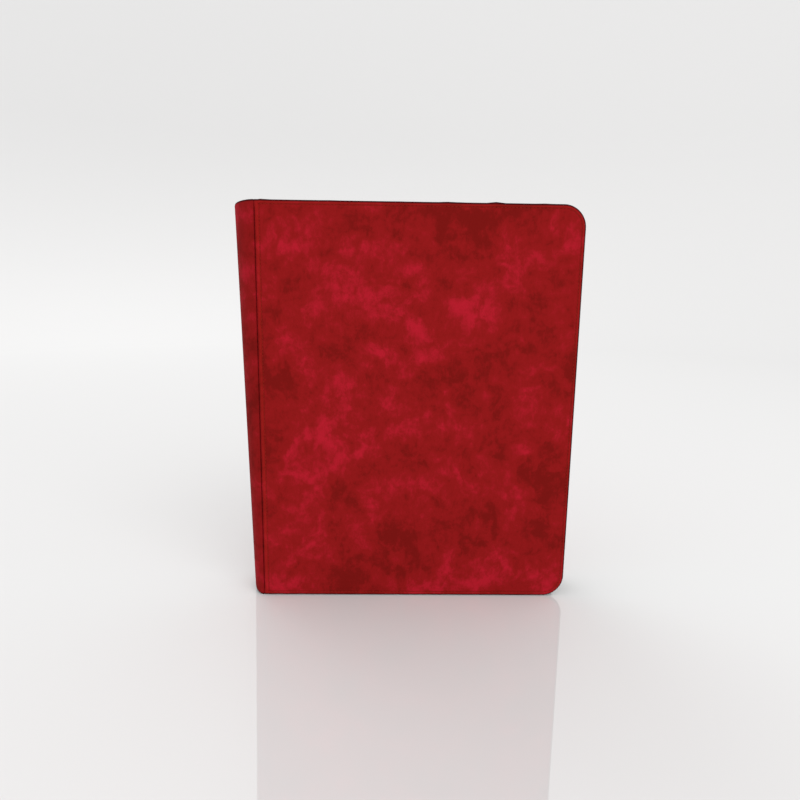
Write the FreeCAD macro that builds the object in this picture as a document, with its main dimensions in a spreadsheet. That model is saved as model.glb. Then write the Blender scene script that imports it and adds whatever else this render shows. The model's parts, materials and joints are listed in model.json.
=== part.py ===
import FreeCAD, Part
import math
import os
import re

import Sketcher
from FreeCAD import Vector

# Zip-around trading card binder for side-loading nine-pocket leaves.
#
# The closed binder stands on its tail: +X runs from the spine to the fore-edge, +Z from the tail to
# the head, and the front cover faces -Y. The origin is the middle of the foot. Millimetres.
#
# Each cover is a stack, from outside: skin, foam, board, lining. The zip tape is a wall that stands
# on the cover's inside along head, fore-edge and tail, and it carries one row of the zip coil. The
# spine is a rounded shell between two creases, on which the covers turn. The leaves turn on the
# guards, a stack of strips sewn to a base inside the spine.

SIZES = {
    "width": (286, "spine to fore-edge, closed"),
    "height": (345, "tail to head"),
    "depth": (42, "outside of front cover to outside of back cover"),
    "corner_radius": (19, "fore-edge corners of the covers"),
    "skin_thickness": (1.0, "suede-look skin"),
    "foam_thickness": (2.0, "padding under the skin"),
    "board_thickness": (2.0, "stiff board of a cover"),
    "lining_thickness": (0.6, "inside lining"),
    "edge_wall": (1.2, "skin turned round the edge of a board"),
    "edge_round": (1.8, "rounding of a cover's outer edge"),
    "crease_inset": (15, "outermost spine to the crease's axis"),
    "crease_depth": (1.7, "outer face of a cover down to the crease's axis"),
    "bead_radius": (0.7, "fold of skin at the crease"),
    "panel_gap": (2.6, "crease's axis to the panel's padded edge"),
    "running_gap": (0.35, "clearance between pieces that turn past each other"),
    "seam_inset": (3.1, "cover's edge to the seam's groove"),
    "seam_width": (1.0, "groove of the seam"),
    "seam_depth": (0.4, "depth of the seam's groove"),
    "thread_width": (0.6, "seam thread"),
    "thread_height": (0.35, "seam thread, above the groove's floor"),
    "spine_pad_thickness": (1.2, "padding of the spine"),
    "spine_pad_angle": (60, "half angle of the spine's padding"),
    "spine_lining_angle": (64, "half angle of the spine's lining"),
    "spine_hem": (1.5, "skin's end to the lining's end, at head and tail"),
    "tape_recess": (6.0, "cover's edge to the zip tape's outer face"),
    "tape_thickness": (0.7, "zip tape"),
    "flange_inset": (1.4, "cover's edge to the tape's sewn flange"),
    "lining_gap": (0.2, "tape to lining"),
    "tape_end_gap": (4.0, "crease's axis to the end of the tape"),
    "coil_width": (2.3, "one row of the zip coil, across the cover gap"),
    "coil_height": (2.1, "one row of the zip coil, out from the tape"),
    "half_gap": (0.6, "middle plane to either row"),
    "coil_end": (21.5, "crease's axis to the first coil turn"),
    "stop_length": (3.0, "clamped zip stop, along the zip"),
    "stop_width": (2.6, "clamped zip stop, across the cover gap"),
    "stop_height": (1.6, "clamped zip stop, out from the tape"),
    "slider_centre": (29.5, "crease's axis to the middle of the slider"),
    "slider_length": (15, "slider, along the zip"),
    "slider_width": (9.2, "slider, across the zip"),
    "slider_plate": (1.1, "either plate of the slider"),
    "slider_gap": (0.3, "slider to tape and coil"),
    "slider_web": (0.6, "wedge that parts the rows"),
    "slider_web_length": (5, "wedge, along the zip"),
    "slider_flange": (1.3, "rail that holds the coil in, across the zip"),
    "slider_corner": (2, "corners of the plates"),
    "bail_length": (11, "bridge that holds the puller"),
    "bail_width": (3.2, "bridge, across the zip"),
    "bail_leg": (1.8, "foot of the bridge, along the zip"),
    "bail_height": (3.15, "bridge above the plate"),
    "bail_roof": (0.9, "thickness over the window"),
    "pin_height": (1.15, "puller's axis above the plate"),
    "puller_thickness": (1.6, "puller and its cross bar"),
    "puller_length": (30, "axis to the tip"),
    "puller_width": (6.8, "puller"),
    "puller_arm": (1.3, "side of the puller's eye"),
    "puller_eye": (7.5, "length of the eye from the axis"),
    "puller_tip": (2.6, "corners of the tip"),
    "slot_start": (14, "axis to the slot in the grip"),
    "slot_end": (26, "axis to the far end of the slot"),
    "slot_width": (2.8, "slot in the grip"),
    "slot_corner": (1.35, "ends of the slot"),
    "end_tab_thickness": (2.4, "folded tab over the ends of the tapes"),
    "end_tab_width": (16, "folded tab, across the spine"),
    "leaf_pitch": (1.45, "leaf to leaf"),
    "leaf_step": (0.8, "each leaf turns this much further out than the one outside it"),
    "leaf_axis": (5.0, "crease's axis to the axis of the outermost leaf"),
    "leaf_margin": (14, "leaf's axis to the first pocket's seam"),
    "leaf_corner": (5, "fore-edge corners of a leaf"),
    "sheet_thickness": (0.3, "black sheet of a leaf"),
    "film_thickness": (0.15, "clear pocket film"),
    "hinge_bead": (0.35, "rolled edge on which a leaf turns"),
    "pocket_width": (68, "a pocket, for a sleeved card"),
    "pocket_height": (93, "a pocket, for a sleeved card"),
    "pocket_seam": (3, "welded seam round a pocket"),
    "guard_gap": (0.6, "end of a guard to its leaf's axis"),
    "guard_thickness": (1.4, "one guard strip"),
    "guard_seat": (3.8, "crease's axis to the flat of the binding base, towards the spine"),
    "base_width": (31, "binding base, across the spine"),
    "fit_gap": (0.05, "glued pieces that only touch"),
    "thread_radius": (0.4, "thread along the outer faces of the guards"),
    "stitch_radius": (0.3, "the same thread where it is pulled tight through them"),
}
LEAF_COUNT = 20
POCKET_COLUMNS = 3
POCKET_ROWS = 3
BINDING_HOLES = 15

# Places worked out from the sizes, written as expressions of the same words.
HALF_WIDTH = "width / 2"
CREASE_X = "(-width / 2 + crease_inset)"
CREASE_Y = "(depth / 2 - crease_depth)"
PANEL_LEFT = f"({CREASE_X} + panel_gap)"
BOARD_LEFT = f"({PANEL_LEFT} + edge_wall)"
INSIDE_Y = "(depth / 2 - skin_thickness - foam_thickness - board_thickness)"
LINING_Y = f"({INSIDE_Y} - lining_thickness)"
# The spine's arc passes through both creases and reaches half a skin inside the overall width.
SPINE_RISE = "(crease_inset - skin_thickness / 2)"
SPINE_MID = f"(({CREASE_Y} ^ 2 + {SPINE_RISE} ^ 2) / (2 * {SPINE_RISE}))"
SPINE_X = f"({CREASE_X} - {SPINE_RISE} + {SPINE_MID})"
SPINE_OUT = f"({SPINE_MID} + skin_thickness / 2)"
SPINE_IN = f"({SPINE_MID} - skin_thickness / 2)"
PAD_IN = f"({SPINE_IN} - spine_pad_thickness)"
SPINE_FREE = f"({PAD_IN} - lining_thickness)"
TAPE_IN = "(tape_recess + tape_thickness)"
COIL_OUT = "(tape_recess - coil_height)"
SLIDER_X = f"({CREASE_X} + slider_centre)"
ROW_TOP = "(height - tape_recess + coil_height)"
PLATE_LOW = f"({ROW_TOP} + slider_gap)"
PLATE_TOP = f"({PLATE_LOW} + slider_plate)"
FLOOR_TOP = f"(height - {TAPE_IN} - slider_gap)"
PIN_Z = f"({PLATE_TOP} + pin_height)"
LEAF_WIDTH = f"(leaf_margin + {POCKET_COLUMNS} * (pocket_width + pocket_seam) + pocket_seam)"
LEAF_HEIGHT = f"({POCKET_ROWS} * (pocket_height + pocket_seam) + pocket_seam)"
LEAF_LOW = f"((height - {LEAF_HEIGHT}) / 2)"
GUARD_LEFT = f"({CREASE_X} - guard_seat)"

doc = FreeCAD.newDocument("trading_card_binder")


# ---- the sheet of sizes, and what reads it ----


def make_sheet():
    """Puts every driving size in a named cell."""
    cells = doc.addObject("Spreadsheet::Sheet", "Sizes")
    for row, (alias, (size, note)) in enumerate(SIZES.items(), start=1):
        cells.set(f"A{row}", alias)
        cells.set(f"B{row}", str(size))
        cells.set(f"C{row}", note)
        cells.setAlias(f"B{row}", alias)
    doc.recompute()
    return cells


sheet = make_sheet()


def cells_of(text):
    """An expression in which each size's word is its cell."""
    return re.sub(r"[a-z_]+", lambda m: "Sizes." + m[0] if m[0] in SIZES else m[0], text)


def number(text):
    """What an expression of sizes comes to."""
    found = sheet.evalExpression(cells_of(text))
    return float(getattr(found, "Value", found))


def drive(thing, prop, text):
    """Binds a property to an expression of sizes."""
    thing.setExpression(prop, cells_of(text))


# ---- sketches ----


def new_body(name):
    return doc.addObject("PartDesign::Body", name)


def new_sketch(body, role, offset):
    """A sketch on one of the body's own origin planes, moved along that plane's normal."""
    sketch = body.newObject("Sketcher::SketchObject", "profile")
    plane = next(f for f in body.Origin.OriginFeatures if f.Role == role)
    sketch.AttachmentSupport = [(plane, "")]
    sketch.MapMode = "FlatFace"
    drive(sketch, "AttachmentOffset.Base.z", offset)
    return sketch


def pin(sketch, kind, geo, point, text):
    """Fixes one coordinate of a point to an expression of sizes."""
    place = number(text)
    if abs(place) < 1e-9:
        axis = -2 if kind == "DistanceX" else -1
        sketch.addConstraint(Sketcher.Constraint("PointOnObject", geo, point, axis))
        return
    if place > 0:
        ends = (-1, 1, geo, point)
    else:
        ends = (geo, point, -1, 1)
        text = f"-({text})"
    added = sketch.addConstraint(Sketcher.Constraint(kind, *ends, abs(place)))
    drive(sketch, f"Constraints[{added}]", text)


def draw_loop(sketch, corners):
    """Draws a closed outline of level and upright lines. A corner is (x, y) or (x, y, radius)."""
    places = [Vector(number(c[0]), number(c[1])) for c in corners]
    radii = [number(c[2]) if len(c) > 2 else 0.0 for c in corners]
    count = len(corners)
    ways = [(places[(i + 1) % count] - places[i]).normalize() for i in range(count)]
    lines = []
    for i in range(count):
        j = (i + 1) % count
        start = places[i] + ways[i] * radii[i]
        end = places[j] - ways[i] * radii[j]
        lines.append(sketch.addGeometry(Part.LineSegment(start, end)))
        if abs(ways[i].x) > abs(ways[i].y):
            sketch.addConstraint(Sketcher.Constraint("Horizontal", lines[i]))
            pin(sketch, "DistanceY", lines[i], 1, corners[i][1])
        else:
            sketch.addConstraint(Sketcher.Constraint("Vertical", lines[i]))
            pin(sketch, "DistanceX", lines[i], 1, corners[i][0])
    for i in range(count):
        before, after = lines[i - 1], lines[i]
        if not radii[i]:
            sketch.addConstraint(Sketcher.Constraint("Coincident", before, 2, after, 1))
            continue
        way_in, way_out = ways[i - 1], ways[i]
        left_turn = way_in.x * way_out.y - way_in.y * way_out.x > 0
        centre = places[i] - way_in * radii[i] + way_out * radii[i]
        first, last = (way_out * -1, way_in) if left_turn else (way_in, way_out * -1)
        circle = Part.Circle(centre, Vector(0, 0, 1), radii[i])
        angles = [math.atan2(spoke.y, spoke.x) for spoke in (first, last)]
        if angles[1] < angles[0]:
            angles[1] += 2 * math.pi
        arc = sketch.addGeometry(Part.ArcOfCircle(circle, *angles))
        meets_in, meets_out = (1, 2) if left_turn else (2, 1)
        sketch.addConstraint(Sketcher.Constraint("Tangent", before, 2, arc, meets_in))
        sketch.addConstraint(Sketcher.Constraint("Tangent", arc, meets_out, after, 1))
        added = sketch.addConstraint(Sketcher.Constraint("Radius", arc, radii[i]))
        drive(sketch, f"Constraints[{added}]", corners[i][2])


def draw_circle(sketch, x, y, radius):
    circle = Part.Circle(Vector(number(x), number(y)), Vector(0, 0, 1), number(radius))
    geo = sketch.addGeometry(circle)
    pin(sketch, "DistanceX", geo, 3, x)
    pin(sketch, "DistanceY", geo, 3, y)
    added = sketch.addConstraint(Sketcher.Constraint("Radius", geo, number(radius)))
    drive(sketch, f"Constraints[{added}]", radius)


def draw_sector(sketch, outer, inner, half_angle):
    """Draws a slice of the spine's shell: two arcs about the spine's centre and two spokes."""
    centre = Vector(number(SPINE_X), 0)
    half = math.radians(number(half_angle))
    angles = (math.pi - half, math.pi + half)
    arcs = []
    for radius in (outer, inner):
        circle = Part.Circle(centre, Vector(0, 0, 1), number(radius))
        arcs.append(sketch.addGeometry(Part.ArcOfCircle(circle, *angles)))
        added = sketch.addConstraint(Sketcher.Constraint("Radius", arcs[-1], number(radius)))
        drive(sketch, f"Constraints[{added}]", radius)
    pin(sketch, "DistanceX", arcs[0], 3, SPINE_X)
    sketch.addConstraint(Sketcher.Constraint("PointOnObject", arcs[0], 3, -1))
    sketch.addConstraint(Sketcher.Constraint("Coincident", arcs[1], 3, arcs[0], 3))
    shape_in, shape_out = (sketch.Geometry[arcs[1]], sketch.Geometry[arcs[0]])
    for point, sign in ((1, -1), (2, 1)):
        ends = [g.StartPoint if point == 1 else g.EndPoint for g in (shape_in, shape_out)]
        spoke = sketch.addGeometry(Part.LineSegment(*ends))
        sketch.addConstraint(Sketcher.Constraint("Coincident", spoke, 1, arcs[1], point))
        sketch.addConstraint(Sketcher.Constraint("Coincident", spoke, 2, arcs[0], point))
        sketch.addConstraint(Sketcher.Constraint("PointOnObject", arcs[0], 3, spoke))
        text = f"({outer}) * sin({half_angle} * 1 deg)"
        place = (spoke, 2, -1, 1) if ends[1].y < 0 else (-1, 1, spoke, 2)
        added = sketch.addConstraint(Sketcher.Constraint("DistanceY", *place, abs(ends[1].y)))
        drive(sketch, f"Constraints[{added}]", text)


# ---- features ----


def pad(body, sketch, length, both_ways=False):
    """Adds material from the sketch along its plane's normal, or half each way."""
    feature = body.newObject("PartDesign::Pad", "pad")
    feature.Profile = sketch
    if both_ways:
        feature.SideType = "Symmetric"
    drive(feature, "Length", length)
    doc.recompute()
    return feature


def pocket(body, sketch, depth):
    """Cuts from the sketch along its plane's normal, and makes sure that something was cut."""
    before = body.Shape.Volume
    feature = body.newObject("PartDesign::Pocket", "pocket")
    feature.Profile = sketch
    feature.Reversed = True
    drive(feature, "Length", depth)
    doc.recompute()
    if body.Shape.Volume > before - 1:
        raise RuntimeError(f"{body.Label}: the pocket cuts nothing")
    return feature


def round_edges(body, base, radius, wanted):
    """Fillets the edges of the base feature for which wanted(edge) is true."""
    doc.recompute()
    names = [f"Edge{n}" for n, e in enumerate(base.Shape.Edges, start=1) if wanted(e)]
    feature = body.newObject("PartDesign::Fillet", "fillet")
    feature.Base = (base, names)
    drive(feature, "Radius", radius)
    doc.recompute()
    return feature


def new_box(name, low, high):
    """A box between two corners, each three expressions of sizes."""
    box = doc.addObject("Part::Box", name)
    for prop, axis, a, b in zip(("Length", "Width", "Height"), "xyz", low, high):
        drive(box, prop, f"({b}) - ({a})")
        drive(box, f"Placement.Base.{axis}", a)
    return box


def new_cylinder(name, x, z_low, z_high, radius):
    """An upright cylinder on the middle plane."""
    round_bar = doc.addObject("Part::Cylinder", name)
    drive(round_bar, "Radius", radius)
    drive(round_bar, "Height", f"({z_high}) - ({z_low})")
    drive(round_bar, "Placement.Base.x", x)
    drive(round_bar, "Placement.Base.z", z_low)
    return round_bar


def group(name, pieces):
    """Separate solids that share one node."""
    together = doc.addObject("Part::Compound", name)
    together.Links = pieces
    return together


def mirror_to_back(front, name):
    """The back cover's copy of a front cover piece."""
    copy = doc.addObject("Part::Mirroring", name)
    copy.Source = front
    copy.Base = Vector(0, 0, 0)
    copy.Normal = Vector(0, 1, 0)
    return copy


# ---- outlines in the plane of a cover ----


def panel_corners(left, inset):
    """A cover's outline, drawn in from its edges, with a straight side at the spine."""
    right, low, high = f"{HALF_WIDTH} - {inset}", f"{inset}", f"height - {inset}"
    bend = f"corner_radius - {inset}"
    return [(left, low), (right, low, bend), (right, high, bend), (left, high)]


def ring_corners(inset, left_inset):
    """A seam's outline, rounded at the fore-edge and nearly square at the spine."""
    left, right = f"{PANEL_LEFT} + {left_inset}", f"{HALF_WIDTH} - {inset}"
    low, high = f"{inset}", f"height - {inset}"
    bend, nick = f"corner_radius - {inset}", f"6 - {inset}"
    return [(left, low, nick), (right, low, bend), (right, high, bend), (left, high, nick)]


def band_corners(outer, inner, left_low, left_high):
    """A band that follows tail, fore-edge and head, open at the spine."""
    right_out, right_in = f"{HALF_WIDTH} - {outer}", f"{HALF_WIDTH} - {inner}"
    bend_out, bend_in = f"corner_radius - {outer}", f"corner_radius - {inner}"
    return [
        (left_low, outer),
        (right_out, outer, bend_out),
        (right_out, f"height - {outer}", bend_out),
        (left_high, f"height - {outer}"),
        (left_high, f"height - {inner}"),
        (right_in, f"height - {inner}", bend_in),
        (right_in, inner, bend_in),
        (left_low, inner),
    ]


# ---- covers ----


def cover_sheet(name, left, inset, inner_y, thickness):
    """A flat layer of a cover, from inner_y outwards."""
    body = new_body(name)
    sketch = new_sketch(body, "XZ_Plane", inner_y)
    draw_loop(sketch, panel_corners(left, inset))
    pad(body, sketch, thickness)
    return body


def cover_skin():
    """A shallow tray that wraps foam and board, with a seam groove and a lip to the crease."""
    body = new_body("front_skin")
    outer = new_sketch(body, "XZ_Plane", INSIDE_Y)
    draw_loop(outer, panel_corners(PANEL_LEFT, "0"))
    block = pad(body, outer, f"depth / 2 - {INSIDE_Y}")
    face_y = -number("depth / 2")
    round_edges(
        body,
        block,
        "edge_round",
        lambda edge: all(abs(v.Y - face_y) < 1e-6 for v in edge.Vertexes),
    )
    hollow = new_sketch(body, "XZ_Plane", f"{INSIDE_Y}")
    draw_loop(hollow, panel_corners(BOARD_LEFT, "edge_wall"))
    pocket(body, hollow, "foam_thickness + board_thickness")
    groove = new_sketch(body, "XZ_Plane", "depth / 2 - seam_depth")
    draw_loop(groove, ring_corners("seam_inset", "seam_inset - 1"))
    far_side = "(seam_inset + seam_width)"
    draw_loop(groove, ring_corners(far_side, f"{far_side} - 1"))
    pocket(body, groove, "seam_depth")
    lip = new_sketch(body, "XY_Plane", "0")
    reach = f"{CREASE_X} + bead_radius + running_gap"
    low, high = f"-{CREASE_Y} - skin_thickness / 2", f"-{CREASE_Y} + skin_thickness / 2"
    inside = f"{PANEL_LEFT} + edge_wall / 2"
    draw_loop(lip, [(reach, low), (inside, low), (inside, high), (reach, high)])
    pad(body, lip, "height")
    return body


def cover_seam():
    """The thread that lies in the seam's groove, all round the panel."""
    body = new_body("front_stitching")
    sketch = new_sketch(body, "XZ_Plane", "depth / 2 - seam_depth")
    slack = "(seam_width - thread_width) / 2"
    near, far = f"(seam_inset + {slack})", f"(seam_inset + {slack} + thread_width)"
    draw_loop(sketch, ring_corners(near, f"{near} - 1"))
    draw_loop(sketch, ring_corners(far, f"{far} - 1"))
    pad(body, sketch, "thread_height")
    return body


def zip_tape():
    """An L-shaped strip: a flange sewn between board and skin, and a wall that reaches the coil."""
    body = new_body("front_zip_tape")
    end = f"{CREASE_X} + tape_end_gap"
    flange = new_sketch(body, "XZ_Plane", LINING_Y)
    draw_loop(flange, band_corners("flange_inset", TAPE_IN, end, end))
    pad(body, flange, "lining_thickness")
    wall = new_sketch(body, "XZ_Plane", "half_gap")
    draw_loop(wall, band_corners("tape_recess", TAPE_IN, end, end))
    pad(body, wall, f"{INSIDE_Y} - half_gap")
    return body


def zip_coil(name, head_end):
    """One row of the coil, as a closed bar on the tape's outer face."""
    body = new_body(name)
    sketch = new_sketch(body, "XZ_Plane", "half_gap")
    tail_end = f"{CREASE_X} + coil_end"
    draw_loop(sketch, band_corners(COIL_OUT, "tape_recess", tail_end, head_end))
    pad(body, sketch, "coil_width")
    return body


def zip_stops():
    """The clamps that end the front row at head and tail."""
    right = f"{CREASE_X} + coil_end - running_gap"
    left = f"{right} - stop_length"
    wide = ("-half_gap - stop_width", "-half_gap")
    foot, top = "tape_recess - stop_height", "height - tape_recess + stop_height"
    tail = new_box("tail_stop", (left, wide[0], foot), (right, wide[1], "tape_recess"))
    head = new_box("head_stop", (left, wide[0], "height - tape_recess"), (right, wide[1], top))
    return group("front_zip_stops", [tail, head])


def make_covers():
    """The front cover's pieces, and their mirror images for the back cover."""
    lining_inset = f"({TAPE_IN} + lining_gap)"
    foam_y = f"{INSIDE_Y} + board_thickness"
    fronts = [
        cover_skin(),
        cover_sheet("front_foam", BOARD_LEFT, "edge_wall", foam_y, "foam_thickness"),
        cover_sheet("front_board", BOARD_LEFT, "edge_wall", INSIDE_Y, "board_thickness"),
        cover_sheet("front_lining", BOARD_LEFT, lining_inset, LINING_Y, "lining_thickness"),
        cover_seam(),
        zip_tape(),
        zip_stops(),
    ]
    backs = [mirror_to_back(piece, piece.Label.replace("front", "back")) for piece in fronts]
    # The front row starts past the parked slider, so that the cover can open beside it.
    clear_end = f"{SLIDER_X} + slider_length / 2 + slider_gap"
    front_row = zip_coil("front_zip_coil", clear_end)
    full_row = zip_coil("back_row_pattern", f"{CREASE_X} + coil_end")
    return fronts + backs + [front_row, mirror_to_back(full_row, "back_zip_coil")]


# ---- spine ----


def spine_layer(name, outer, inner, half_angle, hem):
    body = new_body(name)
    sketch = new_sketch(body, "XY_Plane", hem)
    draw_sector(sketch, outer, inner, half_angle)
    pad(body, sketch, f"height - 2 * ({hem})")
    return body


def spine_skin():
    """The rounded spine, with the fold of each crease as a bead on the cover's axis."""
    to_crease = f"(atan({CREASE_Y} / ({CREASE_X} - {SPINE_X})) / 1 deg)"
    crease_angle = f"(-{to_crease})"
    body = spine_layer("spine_skin", SPINE_OUT, SPINE_IN, crease_angle, "0")
    beads = new_sketch(body, "XY_Plane", "0")
    for side in ("-", ""):
        draw_circle(beads, CREASE_X, f"{side}{CREASE_Y}", "bead_radius")
    pad(body, beads, "height")
    return body


def cut_to_spine(name, low, high):
    """A block whose back follows the inside of the spine's lining."""
    block = new_box(f"{name}_block", low, high)
    round_bar = new_cylinder(f"{name}_round", SPINE_X, low[2], high[2], f"{SPINE_FREE} - fit_gap")
    both = doc.addObject("Part::Common", name)
    both.Base = block
    both.Tool = round_bar
    return both


def end_tab(name, middle_z):
    """The folded tab that closes the ends of both tapes at the spine."""
    right = f"{CREASE_X} + tape_end_gap - running_gap - fit_gap"
    low = (f"-{HALF_WIDTH}", "-end_tab_width / 2", f"{middle_z} - end_tab_thickness / 2")
    high = (right, "end_tab_width / 2", f"{middle_z} + end_tab_thickness / 2")
    return cut_to_spine(name, low, high)


def make_spine():
    pad_hem = "2 * spine_hem"
    tape_middle = "(tape_recess + tape_thickness / 2)"
    return [
        spine_skin(),
        spine_layer("spine_pad", SPINE_IN, PAD_IN, "spine_pad_angle", pad_hem),
        spine_layer("spine_lining", PAD_IN, SPINE_FREE, "spine_lining_angle", "spine_hem"),
        end_tab("zip_end_tab_head", f"(height - {tape_middle})"),
        end_tab("zip_end_tab_tail", tape_middle),
    ]


# ---- slider and puller ----


def slider_body():
    """Two plates joined by a wedge, with rails under the top plate that keep the coil in."""
    body = new_body("slider_body")
    left, right = f"{SLIDER_X} - slider_length / 2", f"{SLIDER_X} + slider_length / 2"
    side = "slider_width / 2"
    plate = [
        (left, f"-{side}", "slider_corner"),
        (right, f"-{side}", "slider_corner"),
        (right, side, "slider_corner"),
        (left, side, "slider_corner"),
    ]
    top = new_sketch(body, "XY_Plane", PLATE_LOW)
    draw_loop(top, plate)
    pad(body, top, "slider_plate")
    web = new_sketch(body, "XY_Plane", FLOOR_TOP)
    thin, web_end = "slider_web / 2", f"{left} + slider_web_length"
    draw_loop(web, [(left, f"-{thin}"), (web_end, f"-{thin}"), (web_end, thin), (left, thin)])
    pad(body, web, f"{PLATE_LOW} - {FLOOR_TOP}")
    floor = new_sketch(body, "XY_Plane", f"{FLOOR_TOP} - slider_plate")
    draw_loop(floor, plate)
    pad(body, floor, "slider_plate")
    rail_foot = "height - tape_recess + slider_gap"
    rails = new_sketch(body, "XY_Plane", rail_foot)
    start, end = f"{left} + slider_corner", f"{right} - slider_corner"
    inner = f"({side} - slider_flange)"
    draw_loop(rails, [(start, inner), (end, inner), (end, side), (start, side)])
    draw_loop(
        rails,
        [(start, f"-{side}"), (end, f"-{side}"), (end, f"-{inner}"), (start, f"-{inner}")],
    )
    pad(body, rails, f"{PLATE_LOW} - ({rail_foot})")
    return body


def slider_bail():
    """The bridge on the slider whose window holds the puller's cross bar."""
    body = new_body("slider_bail")
    left, right = f"{SLIDER_X} - bail_length / 2", f"{SLIDER_X} + bail_length / 2"
    top = f"{PLATE_TOP} + bail_height"
    roof = f"{top} - bail_roof"
    sketch = new_sketch(body, "XZ_Plane", "0")
    draw_loop(
        sketch,
        [
            (left, PLATE_TOP),
            (f"{left} + bail_leg", PLATE_TOP),
            (f"{left} + bail_leg", roof, "0.6"),
            (f"{right} - bail_leg", roof, "0.6"),
            (f"{right} - bail_leg", PLATE_TOP),
            (right, PLATE_TOP),
            (right, top, "bail_leg"),
            (left, top, "bail_leg"),
        ],
    )
    pad(body, sketch, "bail_width", both_ways=True)
    return body


def puller():
    """A flat grip with a slot, whose eye closes round the bridge with a round cross bar."""
    body = new_body("puller_tab")
    sketch = new_sketch(body, "XY_Plane", f"{PIN_Z} - puller_thickness / 2")
    side, tip = "puller_width / 2", f"{SLIDER_X} + puller_length"
    draw_loop(
        sketch,
        [
            (SLIDER_X, f"-{side}"),
            (tip, f"-{side}", "puller_tip"),
            (tip, side, "puller_tip"),
            (SLIDER_X, side),
            (SLIDER_X, f"{side} - puller_arm"),
            (f"{SLIDER_X} + puller_eye", f"{side} - puller_arm", "1"),
            (f"{SLIDER_X} + puller_eye", f"-{side} + puller_arm", "1"),
            (SLIDER_X, f"-{side} + puller_arm"),
        ],
    )
    near, far, half = f"{SLIDER_X} + slot_start", f"{SLIDER_X} + slot_end", "slot_width / 2"
    draw_loop(
        sketch,
        [
            (near, f"-{half}", "slot_corner"),
            (far, f"-{half}", "slot_corner"),
            (far, half, "slot_corner"),
            (near, half, "slot_corner"),
        ],
    )
    # Two arms stay apart until the cross bar joins them, so the bar comes first.
    bar = new_sketch(body, "XZ_Plane", "0")
    draw_circle(bar, SLIDER_X, PIN_Z, "puller_thickness / 2")
    pad(body, bar, "puller_width", both_ways=True)
    pad(body, sketch, "puller_thickness")
    return body


# ---- leaves and their binding ----


def leaf_y(index):
    """Distance of a leaf from the middle plane. Leaf 1 is next to the front cover."""
    return f"({index} - {(LEAF_COUNT + 1) / 2}) * leaf_pitch"


def leaf_x(index):
    """A leaf's axis. The middle leaves turn furthest out, so that opened leaves lie in a stack."""
    steps = min(index - 1, LEAF_COUNT - index)
    return f"({CREASE_X} + leaf_axis + {steps} * leaf_step)"


def leaf_pattern():
    """One leaf with its axis on the origin: a black sheet, with clear pocket strips on both sides."""
    sheet_body = new_body("leaf_sheet")
    profile = new_sketch(sheet_body, "XZ_Plane", "-sheet_thickness / 2")
    high = f"{LEAF_LOW} + {LEAF_HEIGHT}"
    draw_loop(
        profile,
        [
            ("0", LEAF_LOW),
            (LEAF_WIDTH, LEAF_LOW, "leaf_corner"),
            (LEAF_WIDTH, high, "leaf_corner"),
            ("0", high),
        ],
    )
    pad(sheet_body, profile, "sheet_thickness")
    bead = new_sketch(sheet_body, "XY_Plane", LEAF_LOW)
    circle = bead.addGeometry(Part.Circle(Vector(), Vector(0, 0, 1), number("hinge_bead")))
    bead.addConstraint(Sketcher.Constraint("Coincident", circle, 3, -1, 1))
    added = bead.addConstraint(Sketcher.Constraint("Radius", circle, number("hinge_bead")))
    drive(bead, f"Constraints[{added}]", "hinge_bead")
    pad(sheet_body, bead, LEAF_HEIGHT)
    pieces = [sheet_body]
    faces = {
        "front": ("-sheet_thickness / 2 - film_thickness", "-sheet_thickness / 2"),
        "back": ("sheet_thickness / 2", "sheet_thickness / 2 + film_thickness"),
    }
    hem = "pocket_seam / 2"
    for column in range(POCKET_COLUMNS):
        left = f"leaf_margin + {column} * (pocket_width + pocket_seam)"
        right = f"{left} + pocket_width + {hem}"
        for face, (inner, outer) in faces.items():
            low = (left, inner, f"{LEAF_LOW} + {hem}")
            pieces.append(new_box(f"film_{face}_{column}", low, (right, outer, f"{high} - {hem}")))
    return pieces


def make_leaves():
    pattern = leaf_pattern()
    leaves = []
    for index in range(1, LEAF_COUNT + 1):
        leaf = group(f"leaf_{index:02d}", pattern)
        drive(leaf, "Placement.Base.x", leaf_x(index))
        drive(leaf, "Placement.Base.y", leaf_y(index))
        leaves.append(leaf)
    return leaves


def make_binding():
    """The base in the spine, the stack of guards on it, and the thread through the guards."""
    high = f"{LEAF_LOW} + {LEAF_HEIGHT}"
    base = cut_to_spine(
        "binding_base",
        (f"-{HALF_WIDTH}", "-base_width / 2", LEAF_LOW),
        (GUARD_LEFT, "base_width / 2", high),
    )
    strips = []
    for index in range(1, LEAF_COUNT + 1):
        low = (GUARD_LEFT, f"{leaf_y(index)} - guard_thickness / 2", LEAF_LOW)
        end = f"{leaf_x(index)} - guard_gap"
        top = (end, f"{leaf_y(index)} + guard_thickness / 2", high)
        strips.append(new_box(f"guard_{index:02d}", low, top))
    return [base, group("binding_guards", strips), binding_thread()]


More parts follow.
